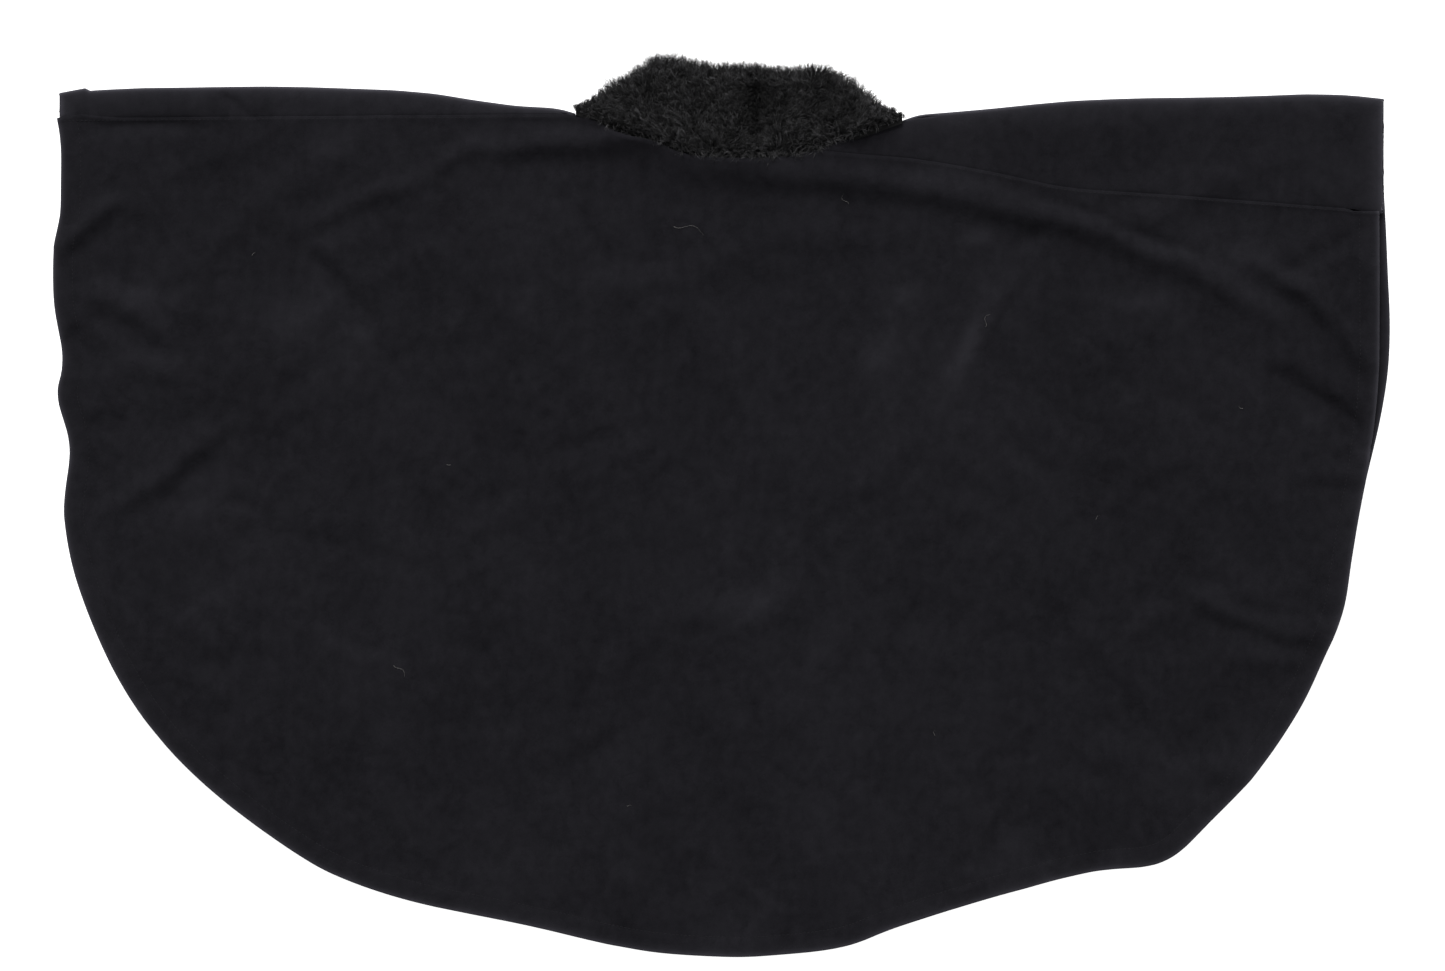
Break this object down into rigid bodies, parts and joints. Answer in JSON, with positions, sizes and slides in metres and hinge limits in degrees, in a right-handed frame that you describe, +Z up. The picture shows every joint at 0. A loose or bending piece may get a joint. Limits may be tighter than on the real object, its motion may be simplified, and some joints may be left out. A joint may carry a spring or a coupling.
{
  "type": "fleece cape with fur collar",
  "caption": "Half-round fleece cape with front panels folded under along the shoulders, turned stitched hems and a stand-up fur collar that folds over and closes with a hook and eye.",
  "frame": {"origin": "on the surface the cape lies on, under the middle of its width and length (bottom centre of the bounding box)", "axes": "+X to the wearer's right across the shoulders, +Y from the lower hem towards the collar, +Z up from the surface, out of the back panel; the front panels lie underneath"},
  "size_m": [1.3359, 0.9006, 0.026],
  "materials": {
    "fleece": "matt brushed polar fleece",
    "fur": "deep pile faux fur with a slight sheen",
    "lining": "smooth woven lining",
    "tape": "matt woven tape and turned fleece",
    "thread": "twisted sewing thread with a slight sheen",
    "label": "plain satin ribbon, blank",
    "nickel": "nickel-plated wire"
  },
  "bodies": {
    "cape": {"back_panel": "fleece", "left_front_panel": "fleece", "right_front_panel": "fleece", "back_hem": "tape", "left_front_hem": "tape", "right_front_hem": "tape", "left_front_facing": "tape", "right_front_facing": "tape", "left_shoulder_seam_tape": "tape", "right_shoulder_seam_tape": "tape", "neck_binding": "tape", "back_hem_stitching": "thread", "left_shoulder_stitching": "thread", "right_shoulder_stitching": "thread", "hanger_tape": "tape", "neck_label": "label", "care_label": "label", "stand_back_fur": "fur", "stand_left_fur": "fur", "stand_right_fur": "fur", "stand_back_lining": "lining", "stand_left_lining": "lining", "stand_right_lining": "lining", "fur_eye": "nickel"},
    "collar": {"fall_back_fur": "fur", "fall_left_fur": "fur", "fall_right_fur": "fur", "fall_back_lining": "lining", "fall_left_lining": "lining", "fall_right_lining": "lining"},
    "hook": {"fur_hook": "nickel"}
  },
  "joints": [
    {"name": "collar_turn", "type": "hinge", "parent": "cape", "child": "collar", "pos_m": [0.018, 0.3932, 0.026], "axis": [0.9997, -0.0254, 0], "range_deg": [0, 150]},
    {"name": "hook_release", "type": "slide", "parent": "cape", "child": "hook", "axis": [-1, 0, 0], "range_m": [0, 0.005]}
  ]
}
